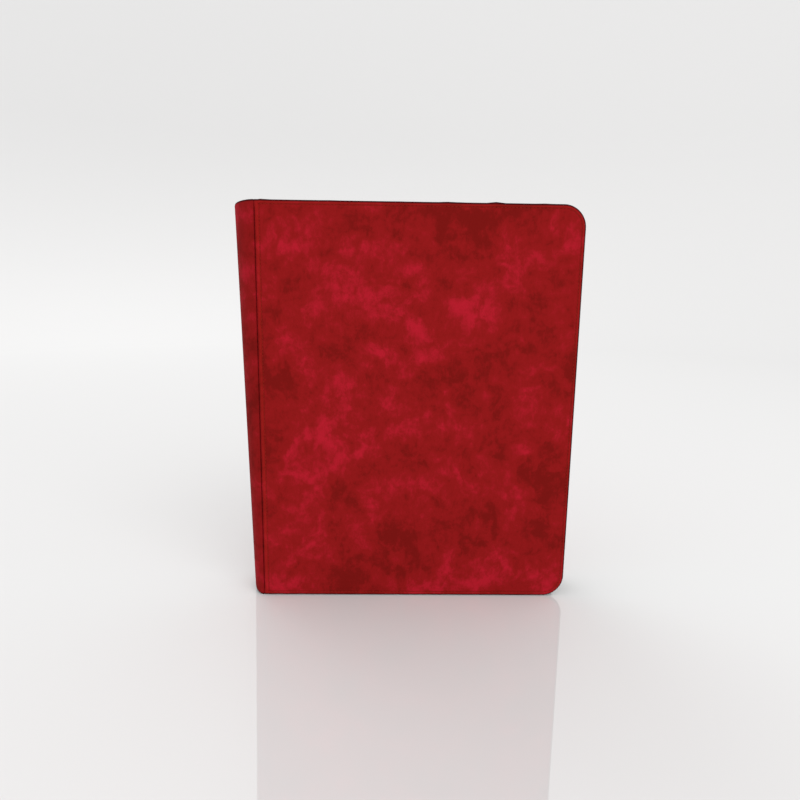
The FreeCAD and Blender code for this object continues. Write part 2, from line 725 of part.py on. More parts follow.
def binding_thread():
    """Stitches through the stack, joined by runs that lie on its two outer faces."""
    x = f"({GUARD_LEFT} + 3.6)"
    reach = f"({(LEAF_COUNT - 1) / 2} * leaf_pitch + guard_thickness / 2 + thread_radius)"
    pitch = f"({LEAF_HEIGHT} - 20) / {BINDING_HOLES - 1}"
    pieces = []
    for hole in range(BINDING_HOLES):
        stitch = doc.addObject("Part::Cylinder", "stitch")
        stitch.Placement.Rotation = FreeCAD.Rotation(Vector(1, 0, 0), -90)
        drive(stitch, "Radius", "stitch_radius")
        drive(stitch, "Height", f"2 * {reach}")
        drive(stitch, "Placement.Base.x", x)
        drive(stitch, "Placement.Base.y", f"-{reach}")
        drive(stitch, "Placement.Base.z", f"{LEAF_LOW} + 10 + {hole} * {pitch}")
        pieces.append(stitch)
    for side in ("-", ""):
        run = doc.addObject("Part::Cylinder", "run")
        drive(run, "Radius", "thread_radius")
        drive(run, "Height", f"{LEAF_HEIGHT} - 20")
        drive(run, "Placement.Base.x", x)
        drive(run, "Placement.Base.y", f"{side}{reach}")
        drive(run, "Placement.Base.z", f"{LEAF_LOW} + 10")
        pieces.append(run)
    thread = doc.addObject("Part::MultiFuse", "binding_thread")
    thread.Shapes = pieces
    return thread


# ---- checks and files ----


def check_document(nodes):
    """Stops if an object failed to build or a node isn't made of closed, valid solids."""
    doc.recompute()
    failed = [o.Label for o in doc.Objects if {"Invalid", "Error"} & set(o.State)]
    if failed:
        raise RuntimeError(f"these objects failed: {failed}")
    for node in nodes:
        shape = node.Shape
        if shape.isNull() or not shape.isValid() or not shape.Solids:
            raise RuntimeError(f"{node.Label} has no valid shape")
        if min(solid.Volume for solid in shape.Solids) <= 0:
            raise RuntimeError(f"{node.Label} has a solid with no volume")


def write_nodes(nodes):
    os.makedirs("parts", exist_ok=True)
    for node in nodes:
        node.Shape.exportStep(f"parts/{node.Label}.step")


all_nodes = make_covers() + make_spine() + [slider_body(), slider_bail(), puller()]
all_nodes += make_binding() + make_leaves()
check_document(all_nodes)
write_nodes(all_nodes)
print(f"{len(all_nodes)} parts written")
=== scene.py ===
import json
import math

import bmesh
import bpy
import numpy as np
from mathutils import Matrix, Vector, noise


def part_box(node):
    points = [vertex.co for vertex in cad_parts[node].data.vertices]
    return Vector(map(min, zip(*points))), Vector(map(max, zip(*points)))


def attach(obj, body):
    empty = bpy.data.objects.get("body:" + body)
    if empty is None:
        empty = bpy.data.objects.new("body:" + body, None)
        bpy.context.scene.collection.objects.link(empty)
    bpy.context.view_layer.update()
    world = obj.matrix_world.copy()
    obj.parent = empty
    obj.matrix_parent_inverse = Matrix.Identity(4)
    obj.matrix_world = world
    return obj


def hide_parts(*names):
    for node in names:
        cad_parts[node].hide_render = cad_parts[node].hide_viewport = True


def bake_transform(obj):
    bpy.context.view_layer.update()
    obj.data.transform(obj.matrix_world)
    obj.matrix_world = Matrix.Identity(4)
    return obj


# Looks of a zip-around trading card binder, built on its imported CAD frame. Metres throughout:
# +X runs from the spine to the fore-edge, +Z from the tail to the head, and the front cover faces -Y.
# Many pieces are made once for a front and a back cover: side is FRONT or BACK, the sign of their y.

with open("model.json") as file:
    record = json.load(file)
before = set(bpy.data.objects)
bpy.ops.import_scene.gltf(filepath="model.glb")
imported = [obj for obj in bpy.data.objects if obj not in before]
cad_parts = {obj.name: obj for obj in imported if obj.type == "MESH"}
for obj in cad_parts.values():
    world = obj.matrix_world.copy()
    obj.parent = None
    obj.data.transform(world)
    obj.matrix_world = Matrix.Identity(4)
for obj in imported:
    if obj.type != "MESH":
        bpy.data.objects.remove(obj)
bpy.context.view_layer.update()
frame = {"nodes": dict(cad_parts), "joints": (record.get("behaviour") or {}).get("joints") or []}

MM = 0.001
FRONT, BACK = -1, 1
SIDE_NAMES = {FRONT: "front", BACK: "back"}
JOINTS = {joint["name"]: joint for joint in frame["joints"]}

# ---- places read from the frame ----

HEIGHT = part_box("front_skin")[1].z
FORE_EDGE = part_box("front_skin")[1].x
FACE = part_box("back_skin")[1].y
SPINE_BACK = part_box("spine_skin")[0].x
HINGE_X = JOINTS["front_cover_hinge"]["pos_m"][0]
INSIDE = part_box("back_zip_tape")[1].y
TAPE_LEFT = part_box("back_zip_tape")[0].x
LINING_LOW, LINING_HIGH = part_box("back_lining")
BASE_LOW, BASE_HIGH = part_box("binding_base")

# ---- cover skins ----

CORNER = 19 * MM  # radius of the fore-edge corners
THICKNESS = FACE - INSIDE  # of a padded cover, from its face to its inside
ROLL = 2.6 * MM  # rounding from the face to the wall
WALL_END = 17.0 * MM  # depth at which the wall turns in to the hem
HEM_TURN = 1.0 * MM  # rounding from the wall to the hem
HEM_END = 1.15 * MM  # inset at which the hem ends on a cover
SPINE_HEM = 7.2 * MM  # inset at which the hem ends on the spine
HEM_STEP = 1.3 * MM  # how far left of the tape's end that changes, and over what width
HEM_STEP_WIDTH = 1.0 * MM
SEAM = 3.6 * MM  # inset of the middle of the seam's groove
SEAM_HALF = 0.9 * MM  # half the groove's width
SEAM_DEPTH = 0.45 * MM
SKIN = 0.9 * MM  # thickness of the suede with its backing
CREASE_BOTTOM = HINGE_X - 0.4 * MM
CREASE_DEPTH = 19.2 * MM  # distance of its bottom from the middle of the binder
SHOULDER_X = CREASE_BOTTOM - 0.9 * MM  # where the spine's curve starts
SHOULDER_Y = 20.3 * MM
HEM_FILL = 0.6  # how much of the crease the turned-in hems fill at head and tail
HEM_FILL_END = 2 * MM  # and how far from the ends that begins to fade, and over what length
HEM_FILL_FADE = 7 * MM
PANEL_EDGE = CREASE_BOTTOM + 2.4 * MM  # where the cover is flat
SEAM_LEFT = CREASE_BOTTOM + 4.1 * MM  # the seam beside the crease
THIN = 0.5  # thickness of the spine's folded edge as a share of the cover's
HEAD_DIP = 2.6 * MM  # how far the spine's head sinks between the covers
TAIL_RISE = 2.4 * MM  # how far its tail stays off the floor
BULGE_TAIL = -3.6 * MM  # the spine is slack: flatter at the tail and fuller at the head
BULGE_SLOPE = 0.0245
GRID = 8 * MM  # spacing of points on plain surfaces
WAVE = 0.16 * MM  # unevenness of the padded skin, and how wide its waves are
WAVE_WIDTH = 55 * MM
WAVE_MARGIN = 12 * MM  # distance from the seam over which it sets in
# Where the seam has gathered the head's edge: (x, width, height).
GATHERS = [
    (-0.122, 0.005, 0.0005),
    (-0.066, 0.003, 0.0003),
    (-0.0145, 0.004, 0.0004),
    (0.030, 0.011, 0.0004),
    (0.068, 0.004, 0.0008),
    (0.106, 0.005, 0.0004),
]

# ---- layers of the spine, below its face ----

SPINE_PAD_OUT, SPINE_PAD_IN = 1.0 * MM, 1.9 * MM
SPINE_LINING_OUT, SPINE_LINING_IN = 2.6 * MM, 3.1 * MM
SPINE_PAD_HALF = 16 * MM  # how far each reaches from the middle, in y
SPINE_LINING_HALF = 17.2 * MM
SPINE_LINING_SHORT = 3 * MM  # the lining ends this far inside its CAD box at head and tail
BED_BACK = 3.15 * MM  # back of the base
TAB_BACK = 3.2 * MM  # back of the tabs

# ---- zip ----

COIL_LEFT = {FRONT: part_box("front_zip_coil")[0].x, BACK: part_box("back_zip_coil")[0].x}
COIL_PITCH = 1.6 * MM
COIL_STEPS = 10  # points in one turn
COIL_INSET = 4.95 * MM
COIL_DEPTH = 1.3 * MM
COIL_HALF_WIDTH = 1.55 * MM
COIL_HALF_HEIGHT = 0.72 * MM
FILAMENT = 0.29 * MM  # radius
COIL_THREAD = 0.16 * MM  # radius
COIL_THREAD_DEPTHS = (1.75 * MM, 2.45 * MM)  # the two lines of stitches along the coil
TAPE_INSET = 6.0 * MM  # of the outer face of the tape's wall
TAPE_WALL = 0.7 * MM  # thickness of its wall
TAPE_FLANGE = 0.55 * MM  # thickness of its flange
TAPE_FLANGE_EDGE = 1.1 * MM  # inset at which the flange begins
TAPE_BEND = 1.0 * MM
TAPE_LIP = 0.6 * MM  # distance of the tape's free edge from the middle of the binder
TAPE_WANDER = 0.12 * MM  # how unevenly the wall stands

# ---- leaves ----

LEAVES = sorted(name for name in frame["nodes"] if name.startswith("leaf_"))
LEAF_SHEET = 0.3 * MM
LEAF_CORNER = 5 * MM
LEAF_MARGIN = 14 * MM  # axis to the first weld
POCKET_WIDTH = 68 * MM
POCKET_HEIGHT = 93 * MM
WELD = 3 * MM
FILM = 0.09 * MM
FILM_GAP = 0.02 * MM
FILM_PUFF = 0.28 * MM  # how far a pocket stands off the sheet in its middle
SHEET_WAVE = 0.1 * MM


# ---- small helpers ----


def spread(start, end, step):
    """Evenly spaced values from start to end, about step apart, both ends included."""
    count = max(1, round(abs(end - start) / step))
    return [start + (end - start) * index / count for index in range(count + 1)]


def smooth(share):
    """0 before 0, 1 after 1, and an even curve between."""
    share = min(1.0, max(0.0, share))
    return share * share * (3 - 2 * share)


def new_piece(name, points, faces, material, point_values=None):
    """A smooth-shaded mesh object that remembers where its points are at rest."""
    mesh = bpy.data.meshes.new(name)
    mesh.from_pydata([tuple(point) for point in points], [], faces)
    mesh.validate()
    mesh.polygons.foreach_set("use_smooth", [True] * len(mesh.polygons))
    for key, values in (point_values or {}).items():
        mesh.attributes.new(key, "FLOAT", "POINT").data.foreach_set("value", values)
    remember_rest(mesh)
    mesh.materials.append(material)
    made = bpy.data.objects.new(name, mesh)
    bpy.context.scene.collection.objects.link(made)
    return made


def remember_rest(mesh):
    """Keeps the rest places in an attribute, so that patterns stay put when a piece bends."""
    places = np.empty(len(mesh.vertices) * 3, np.float32)
    mesh.vertices.foreach_get("co", places)
    kept = mesh.attributes.get("rest_place") or mesh.attributes.new("rest_place", "FLOAT_VECTOR", "POINT")
    kept.data.foreach_set("vector", places)


def settle(piece):
    """Applies the piece's modifiers, closes its normals outward and stores the rest places again."""
    evaluated = piece.evaluated_get(bpy.context.evaluated_depsgraph_get())
    mesh = bpy.data.meshes.new_from_object(evaluated)
    piece.modifiers.clear()
    old = piece.data
    piece.data = mesh
    bpy.data.meshes.remove(old)
    mesh.name = piece.name
    work = bmesh.new()
    work.from_mesh(mesh)
    bmesh.ops.recalc_face_normals(work, faces=work.faces)
    work.to_mesh(mesh)
    work.free()
    remember_rest(mesh)
    return piece


def thicken(piece, thickness):
    """Gives an open surface a thickness, inwards from its face."""
    solid = piece.modifiers.new("thickness", "SOLIDIFY")
    solid.thickness = thickness
    solid.offset = -1
    solid.use_even_offset = False
    return settle(piece)


def grid_faces(rows, columns, flip=False, start=0):
    """Quads of a grid whose points are listed row by row."""
    faces = []
    for row in range(rows - 1):
        for column in range(columns - 1):
            corner = start + row * columns + column
            above = corner + columns
            quad = (corner, corner + 1, above + 1, above)
            faces.append(quad[::-1] if flip else quad)
    return faces


def band_faces(sections, count):
    """Quads between closed sections of count points each."""
    faces = []
    for low in range(0, (sections - 1) * count, count):
        high = low + count
        for index in range(count):
            after = (index + 1) % count
            faces.append((low + index, low + after, high + after, high + index))
    return faces


def loft(sections):
    """Points and faces of closed sections of equal length joined up, with both ends capped."""
    points = [point for section in sections for point in section]
    count, total = len(sections[0]), len(points)
    caps = [tuple(reversed(range(count))), tuple(range(total - count, total))]
    return points, band_faces(len(sections), count) + caps


def tube(points, radii, sides):
    """Points and faces of a capped tube along a line of points, with a radius at each."""
    line = np.array([tuple(point) for point in points], float)
    ahead = np.gradient(line, axis=0)
    ahead /= np.linalg.norm(ahead, axis=1)[:, None]
    unaligned = (0.31, 0.54, 0.78)  # a direction that no tube here runs along
    across = np.cross(ahead[0], unaligned)
    sections = []
    for place, direction, radius in zip(line, ahead, radii):
        across = across - direction * (across @ direction)
        across /= np.linalg.norm(across)
        other = np.cross(direction, across)
        turns = [2 * math.pi * corner / sides for corner in range(sides)]
        sections.append([place + radius * (math.cos(t) * across + math.sin(t) * other) for t in turns])
    return loft(sections)


def joined_piece(name, parts, material):
    """One piece from several lists of points and faces."""
    points, faces = [], []
    for part_points, part_faces in parts:
        faces += [tuple(len(points) + index for index in face) for face in part_faces]
        points += part_points
    return settle(new_piece(name, points, faces, material))


# ---- materials ----


def srgb(red, green, blue):
    """A colour given as 0 to 255 on a screen."""
    shares = [value / 255 for value in (red, green, blue)]
    linear = [s / 12.92 if s <= 0.04045 else ((s + 0.055) / 1.055) ** 2.4 for s in shares]
    return (*linear, 1.0)


class Finish:
    """A node material being put together round one Principled shader."""

    def __init__(self, name, **surface):
        self.material = bpy.data.materials.new(name)
        self.material.use_nodes = True
        self.tree = self.material.node_tree
        self.shader = self.tree.nodes["Principled BSDF"]
        for key, value in surface.items():
            self.shader.inputs[key.replace("_", " ")].default_value = value

    def add(self, kind, inputs=(), **settings):
        """A new node with its inputs fed and its settings set."""
        node = self.tree.nodes.new("ShaderNode" + kind)
        for key, value in settings.items():
            setattr(node, key, value)
        for key, value in dict(inputs).items():
            self.feed(node.inputs[key], value)
        return node

    def feed(self, socket, value):
        """Links a socket, or sets its value."""
        if isinstance(value, bpy.types.NodeSocket):
            self.tree.links.new(value, socket)
        else:
            socket.default_value = value

    def surface(self, name, value):
        """Feeds one of the shader's inputs."""
        self.feed(self.shader.inputs[name], value)

    def place(self, stretch=(1, 1, 1)):
        """Places on the piece at rest, in metres, stretched along the axes."""
        rest = self.add("Attribute", attribute_name="rest_place").outputs["Vector"]
        return self.add("VectorMath", {0: rest, 1: stretch}, operation="MULTIPLY").outputs[0]

    def own_place(self, stretch=(1, 1, 1)):
        """The same on a CAD node, whose own axes are the frame's."""
        own = self.add("TexCoord").outputs["Object"]
        return self.add("VectorMath", {0: own, 1: stretch}, operation="MULTIPLY").outputs[0]

    def value(self, name):
        """A value kept on the mesh's points."""
        return self.add("Attribute", attribute_name=name).outputs["Fac"]

    def noise(self, where, size, detail=3.0, rough=0.55, twist=0.0):
        """Noise whose features are about size across."""
        inputs = {"Vector": where, "Scale": 1 / size, "Detail": detail, "Roughness": rough}
        inputs["Distortion"] = twist
        return self.add("TexNoise", inputs).outputs["Fac"]

    def shift(self, where, size, amount):
        """Places pushed about by noise, so that a pattern's edges turn ragged."""
        inputs = {"Vector": where, "Scale": 1 / size, "Detail": 3.0}
        pushed = self.add("TexNoise", inputs).outputs["Color"]
        centred = self.add("VectorMath", {0: pushed, 1: (0.5, 0.5, 0.5)}, operation="SUBTRACT").outputs[0]
        scaled = self.add("VectorMath", {0: centred, 1: (amount,) * 3}, operation="MULTIPLY").outputs[0]
        return self.add("VectorMath", {0: where, 1: scaled}, operation="ADD").outputs[0]

    def fade(self, value, low, high, start=0.0, end=1.0):
        """Start where value is low or less, end where it is high or more, and smooth between."""
        inputs = {"Value": value, "From Min": low, "From Max": high, "To Min": start, "To Max": end}
        node = self.add("MapRange", inputs, interpolation_type="SMOOTHSTEP")
        return node.outputs["Result"]

    def sum(self, first, second, operation="ADD"):
        """The sum, or another operation, of two values."""
        return self.add("Math", {0: first, 1: second}, operation=operation).outputs[0]

    def mix(self, share, first, second):
        """First where share is 0 and second where it is 1, as colours."""
        # The sockets are found by number, because the node has one of each name for every data type.
        share_socket, first_socket, second_socket, result = 0, 6, 7, 2
        node = self.add("Mix", data_type="RGBA")
        self.feed(node.inputs[share_socket], share)
        self.feed(node.inputs[first_socket], first)
        self.feed(node.inputs[second_socket], second)
        return node.outputs[result]

    def bump(self, height, distance, strength=1.0):
        """Raises the surface by about distance where height is 1."""
        inputs = {"Height": height, "Distance": distance, "Strength": strength}
        normal = self.shader.inputs["Normal"]
        if normal.links:
            inputs["Normal"] = normal.links[0].from_socket
        self.feed(normal, self.add("Bump", inputs).outputs["Normal"])

    def weave(self, where, pitch, first="X", second="Z"):
        """Two crossed sets of yarns: 0 between them and 1 on top."""
        bands = 0.314  # spacing of the wave texture's bands at scale 1
        waves = []
        for axis in (first, second):
            inputs = {"Vector": where, "Scale": bands / pitch, "Distortion": 0.25}
            waves.append(self.add("TexWave", inputs, bands_direction=axis).outputs["Fac"])
        return self.sum(waves[0], waves[1], "MULTIPLY")


def suede_finish():
    """Brushed suede-look polyurethane: clouds of nap that lies two ways, with painted shade along the
    edges, crease and grooves and a painted highlight on the crease's shoulder and the rim's roll.
    """
    finish = Finish("red_suede", Roughness=0.82, Specular_IOR_Level=0.07)
    where = finish.shift(finish.place(), 30 * MM, 14 * MM)
    clouds = finish.noise(where, 46 * MM, detail=6.0, rough=0.56, twist=0.3)
    uneven = finish.shift(where, 9 * MM, 6 * MM)
    blotches = finish.noise(uneven, 19 * MM, detail=6.0, rough=0.64, twist=0.4)
    strokes = finish.shift(finish.place((1, 1, 0.6)), 7 * MM, 7 * MM)
    brushed = finish.noise(strokes, 4.0 * MM, detail=4.0, rough=0.7)
    nap = finish.noise(finish.place(), 0.55 * MM, detail=2.0)
    tone = finish.sum(finish.sum(clouds, 0.6, "MULTIPLY"), finish.sum(blotches, 0.4, "MULTIPLY"))
    tone = finish.sum(tone, finish.sum(finish.sum(brushed, 0.5, "SUBTRACT"), 0.21, "MULTIPLY"))
    dark = finish.mix(finish.fade(tone, 0.40, 0.50), srgb(119, 17, 14), srgb(142, 20, 21))
    colour = finish.mix(finish.fade(tone, 0.50, 0.65), dark, srgb(178, 24, 41))
    grain = finish.fade(nap, 0.2, 0.8, 0.0, 0.18)
    colour = finish.mix(grain, colour, srgb(100, 12, 14))
    painted_highlight = finish.value("painted_highlight")
    # Painted highlight: a redder colour on the crease's shoulder and the rim's roll.
    colour = finish.mix(finish.sum(painted_highlight, 0.32, "MULTIPLY"), colour, srgb(160, 30, 18))
    shade_and_darkening_share = finish.value("shade_and_darkening")
    # Painted shade: near black over the edge's wall and hem, a little in the creases and grooves; on the
    # spine also a plain darkening of its middle and, slightly, all over.
    colour = finish.mix(shade_and_darkening_share, colour, srgb(30, 5, 9))
    finish.surface("Base Color", colour)
    finish.surface("Roughness", finish.fade(tone, 0.35, 0.65, 0.88, 0.74))
    finish.bump(brushed, 0.05 * MM, 0.5)
    finish.bump(nap, 0.04 * MM, 0.6)
    return finish.material


def cloth_finish(name, colour, light, pitch, depth):
    """Woven cloth with a slightly uneven dye."""
    finish = Finish(name, Roughness=0.85, Specular_IOR_Level=0.25)
    weave = finish.weave(finish.place(), pitch)
    uneven = finish.noise(finish.place(), 12 * MM, detail=4.0)
    tone = finish.mix(finish.sum(weave, 0.6, "MULTIPLY"), colour, light)
    tone = finish.mix(finish.fade(uneven, 0.35, 0.7, 0.0, 0.3), tone, light)
    finish.surface("Base Color", tone)
    finish.bump(weave, depth)
    return finish.material


def tape_finish():
    """Zip tape: fine ribs across the tape, and a thicker cord along its edge."""
    finish = Finish("zip_tape", Roughness=0.8, Specular_IOR_Level=0.25)
    along, across = finish.value("along"), finish.value("across")
    strip = finish.add("CombineXYZ", {"X": along, "Y": across, "Z": 0.0}).outputs[0]
    weave = finish.weave(strip, 0.55 * MM, "X", "Y")
    fuzz = finish.noise(strip, 0.8 * MM)
    tone = finish.mix(finish.sum(weave, 0.7, "MULTIPLY"), srgb(14, 14, 15), srgb(46, 45, 47))
    tone = finish.mix(finish.fade(fuzz, 0.5, 0.8, 0.0, 0.3), tone, srgb(58, 56, 58))
    finish.surface("Base Color", tone)
    finish.bump(weave, 0.12 * MM)
    finish.bump(fuzz, 0.05 * MM)
    return finish.material


def thread_finish(name, dark, light, twist):
    """Twisted sewing thread."""
    finish = Finish(name, Roughness=0.75, Specular_IOR_Level=0.15)
    strands = finish.noise(finish.place(), twist, detail=2.0)
    finish.surface("Base Color", finish.mix(strands, dark, light))
    finish.bump(strands, 0.08 * MM)
    return finish.material


def plastic_finish(name, dark, light, rough, grain, depth, own=False):
    """Moulded or embossed plastic with a fine grain and faint handling marks."""
    finish = Finish(name, Roughness=rough, Specular_IOR_Level=0.45)
    where = finish.own_place() if own else finish.place()
    pebbles = finish.noise(where, grain, detail=3.0)
    marks = finish.noise(where, 14 * MM, detail=5.0, rough=0.7)
    finish.surface("Base Color", finish.mix(pebbles, dark, light))
    roughness = finish.fade(marks, 0.3, 0.7, rough - 0.08, rough + 0.1)
    finish.surface("Roughness", roughness)
    finish.bump(pebbles, depth)
    return finish.material


def metal_finish():
    """Satin nickel, rubbed brighter where fingers touch it."""
    finish = Finish("satin_nickel", Roughness=0.32, Metallic=1.0)
    where = finish.own_place()
    brushed = finish.noise(finish.own_place((0.12, 1, 1)), 0.5 * MM, detail=3.0)
    smudge = finish.noise(where, 5 * MM, detail=4.0)
    tone = finish.mix(finish.fade(smudge, 0.3, 0.7), srgb(150, 148, 146), srgb(190, 188, 184))
    finish.surface("Base Color", tone)
    finish.surface("Roughness", finish.fade(smudge, 0.3, 0.7, 0.40, 0.26))
    finish.bump(brushed, 0.02 * MM, 0.5)
    return finish.material


def film_finish():
    """Clear pocket film with a faint ripple."""
    finish = Finish("clear_film", Roughness=0.1, Transmission_Weight=0.96, IOR=1.2)
    ripple = finish.noise(finish.place((1, 1, 0.4)), 22 * MM, detail=2.0)
    haze = finish.noise(finish.place(), 5 * MM, detail=3.0)
    finish.surface("Base Color", srgb(246, 248, 250))
    finish.surface("Roughness", finish.fade(haze, 0.3, 0.8, 0.06, 0.18))
    finish.bump(ripple, 0.5 * MM)
    return finish.material


def board_finish(name, dark, light):
    """Pressed grey board: fibres and flecks."""
    finish = Finish(name, Roughness=0.9, Specular_IOR_Level=0.2)
    fibres = finish.noise(finish.own_place((1, 1, 0.3)), 0.6 * MM, detail=4.0)
    finish.surface("Base Color", finish.mix(fibres, dark, light))
    finish.bump(fibres, 0.1 * MM)
    return finish.material


def foam_finish():
    """Open-cell padding foam."""
    finish = Finish("padding_foam", Roughness=0.95, Specular_IOR_Level=0.1)
    where = finish.own_place()
    cells = finish.add("TexVoronoi", {"Vector": where, "Scale": 1 / (0.9 * MM)}).outputs["Distance"]
    tone = finish.mix(finish.fade(cells, 0.0, 0.6), srgb(206, 200, 186), srgb(238, 234, 222))
    finish.surface("Base Color", tone)
    finish.bump(cells, 0.2 * MM)
    return finish.material


def floor_finish():
    """Pale satin floor that mirrors what stands on it a little."""
    finish = Finish("pale_floor", Roughness=0.9, Specular_IOR_Level=0.0)
    finish.surface("Base Color", srgb(226, 226, 226))
    gloss = finish.add("BsdfGlossy", {"Color": srgb(252, 249, 247), "Roughness": 0.02}).outputs[0]
    both = finish.add("MixShader", {0: 0.15, 1: finish.shader.outputs[0], 2: gloss}).outputs[0]
    finish.feed(finish.tree.nodes["Material Output"].inputs["Surface"], both)
    return finish.material


SUEDE = suede_finish()
LINING = cloth_finish("black_lining", srgb(16, 16, 18), srgb(40, 40, 43), 0.7 * MM, 0.1 * MM)
TAPE = tape_finish()
SEAM_THREAD = thread_finish("seam_thread", srgb(118, 22, 12), srgb(160, 36, 20), 0.4 * MM)
BINDING_THREAD = thread_finish("binding_thread", srgb(20, 20, 21), srgb(54, 53, 54), 0.4 * MM)
COIL = plastic_finish("coil_nylon", srgb(15, 15, 16), srgb(32, 32, 33), 0.38, 0.5 * MM, 0.01 * MM)
SHEET = plastic_finish("leaf_sheet", srgb(17, 17, 18), srgb(30, 30, 31), 0.5, 0.45 * MM, 0.03 * MM)
FILM_CLEAR = film_finish()
METAL = metal_finish()
GUARD_LOOK = (srgb(18, 18, 19), srgb(38, 38, 39), 0.7, 0.7 * MM, 0.05 * MM)
GUARD = plastic_finish("guard_board", *GUARD_LOOK, own=True)
BED = plastic_finish("bed_board", *GUARD_LOOK)
TAB = plastic_finish("tab_web", srgb(16, 16, 17), srgb(40, 40, 42), 0.8, 0.5 * MM, 0.12 * MM, own=True)
BOARD = board_finish("grey_board", srgb(120, 114, 104), srgb(176, 170, 158))
FOAM = foam_finish()


# ---- rounded panels ----


def rounded_panel(columns, low_z, high_z, rings, step=GRID):
    """A grid over a panel whose two right corners are round. It is straight as far as the last column and
    from low_z to high_z, and rings are distances out from there. Returns rows of (x, z, ring index)."""
    across = [(x, 0) for x in columns] + [(columns[-1], ring) for ring in range(1, len(rings))]
    up = [(low_z, ring, -1) for ring in range(len(rings) - 1, 0, -1)]
    up += [(z, 0, 0) for z in spread(low_z, high_z, step)]
    up += [(high_z, ring, 1) for ring in range(1, len(rings))]
    rows = []
    for base_z, ring_z, way in up:
        row = []
        for base_x, ring_x in across:
            ring = max(ring_x, ring_z)
            turn = math.pi / 4 * min(ring_x, ring_z) / ring if ring else 0.0
            major, minor = rings[ring] * math.cos(turn), rings[ring] * math.sin(turn)
            out_x, out_z = (major, minor) if ring_x >= ring_z else (minor, major)
            row.append((base_x + out_x, base_z + way * out_z, ring))
        rows.append(row)
    return rows


def seam_groove(offset):
    """Depth of the seam's groove at this distance from its middle."""
    if abs(offset) >= SEAM_HALF:
        return 0.0
    return SEAM_DEPTH * (0.5 + 0.5 * math.cos(math.pi * offset / SEAM_HALF))


FLAT_RINGS = (1.0, 0.8, 0.6, 0.42, 0.3)  # insets of the rings on the flat, in corner radii


def edge_rings():
    """The skin from the corner's centre over the seam, roll, wall and hem: (inset, drop)."""
    rings = [(CORNER * share, 0.0) for share in FLAT_RINGS]
    for offset in spread(SEAM_HALF, -SEAM_HALF, SEAM_HALF / 4):
        rings.append((SEAM + offset, seam_groove(offset)))
    for angle in spread(0, math.pi / 2, math.pi / 16):
        rings.append((ROLL * (1 - math.sin(angle)), ROLL * (1 - math.cos(angle))))
    wall_drop = FACE - WALL_END
    for drop in spread(ROLL, wall_drop, 0.7 * MM)[1:]:
        rings.append((0.0, drop))
    for angle in spread(0, math.pi / 2, math.pi / 8)[1:]:
        rings.append((HEM_TURN * (1 - math.cos(angle)), wall_drop + HEM_TURN * math.sin(angle)))
    rings.append((HEM_END, THICKNESS))
    return rings


EDGE = edge_rings()
EDGE_OUT = [CORNER - inset for inset, _ in EDGE]


def thinness(x):
    """1 at the crease, where the edge is only folded skin, and 0 on the padded panel."""
    return 1 - smooth((x - CREASE_BOTTOM) / (PANEL_EDGE - CREASE_BOTTOM))


def edge_drop(ring, thin):
    """How far below the face the skin is at this ring."""
    return EDGE[ring][1] * (1 - (1 - THIN) * thin)


def hem_shift(ring, x):
    """The hem's end reaches further in on the spine and the crease, where there is no board."""
    bare = 1 - smooth((x - TAPE_LEFT + HEM_STEP) / HEM_STEP_WIDTH)
    return (SPINE_HEM - HEM_END) * bare if ring == len(EDGE) - 1 else 0.0


def crease_floor(z):
    """Depth of the bottom of the crease, which the turned-in hems fill a little at head and tail."""
    filled = HEM_FILL * (1 - smooth((min(z, HEIGHT - z) - HEM_FILL_END) / HEM_FILL_FADE))
    return CREASE_DEPTH + (SHOULDER_Y - CREASE_DEPTH) * filled


def crease_depth(x, z):
    """Depth of the outer face from the bottom of the crease to the flat of the panel."""
    share = min(1.0, max(0.0, (x - CREASE_BOTTOM) / (PANEL_EDGE - CREASE_BOTTOM)))
    floor = crease_floor(z)
    return floor + (FACE - floor) * math.sin(share * math.pi / 2) ** 0.8


def left_seam(x, z):
    """Groove of the seam that runs beside the crease."""
    ends = smooth((min(z, HEIGHT - z) - SEAM) / SEAM_HALF + 1)
    return seam_groove(x - SEAM_LEFT) * ends


def ripple(x, z, side):
    """Slight unevenness of padded skin."""
    away = smooth((min(z, HEIGHT - z, FORE_EDGE - x, x - PANEL_EDGE) - SEAM) / WAVE_MARGIN)
    place = Vector((x / WAVE_WIDTH, side * 3.0, z / WAVE_WIDTH))
    return WAVE * noise.noise(place) * away


def gather(x, z):
    """How far the seam has pulled the head's edge up at x."""
    reach = 3 * MM
    lift = sum(height * math.exp(-(((x - at) / width * 2) ** 2)) for at, width, height in GATHERS)
    return lift * smooth((z - HEIGHT + reach) / reach)


def cover_columns():
    """Straight part of a cover's skin, finest in the crease and at the seam beside it."""
    crease = spread(CREASE_BOTTOM, PANEL_EDGE, 0.35 * MM)
    seam = spread(SEAM_LEFT - SEAM_HALF, SEAM_LEFT + SEAM_HALF, SEAM_HALF / 4)
    flat = spread(SEAM_LEFT + SEAM_HALF, FORE_EDGE - CORNER, GRID)
    return [x for x in crease if x < seam[0] - 0.1 * MM] + seam + flat[1:]


def edge_painted_shade(ring):
    """How much painted shade darkens the edge: fully on the wall and the hem, and less over the roll."""
    inset, drop = EDGE[ring]
    return 0.95 if drop >= ROLL else 0.95 * smooth((0.9 * ROLL - inset) / (0.7 * ROLL))


def cover_painted_shade(x, ring, groove):
    """Painted shade on a cover's skin: at its edge, and a little in the crease and the seam's groove."""
    crease = smooth(1 - (x - CREASE_BOTTOM) / (1.3 * MM))
    return max(edge_painted_shade(ring), 0.04 * crease, 0.1 * groove)


def cover_painted_highlight(x, ring):
    """Painted highlight, a redder tint where light would catch the skin: the shoulder of the crease and
    the rim's roll.
    """
    shoulder = 0.8 * math.exp(-(((x - PANEL_EDGE) / (1.3 * MM)) ** 2))
    rim = math.exp(-(((EDGE[ring][0] - ROLL * 0.8) / (0.7 * MM)) ** 2)) if ring else 0.0
    return min(1.0, max(shoulder, rim))


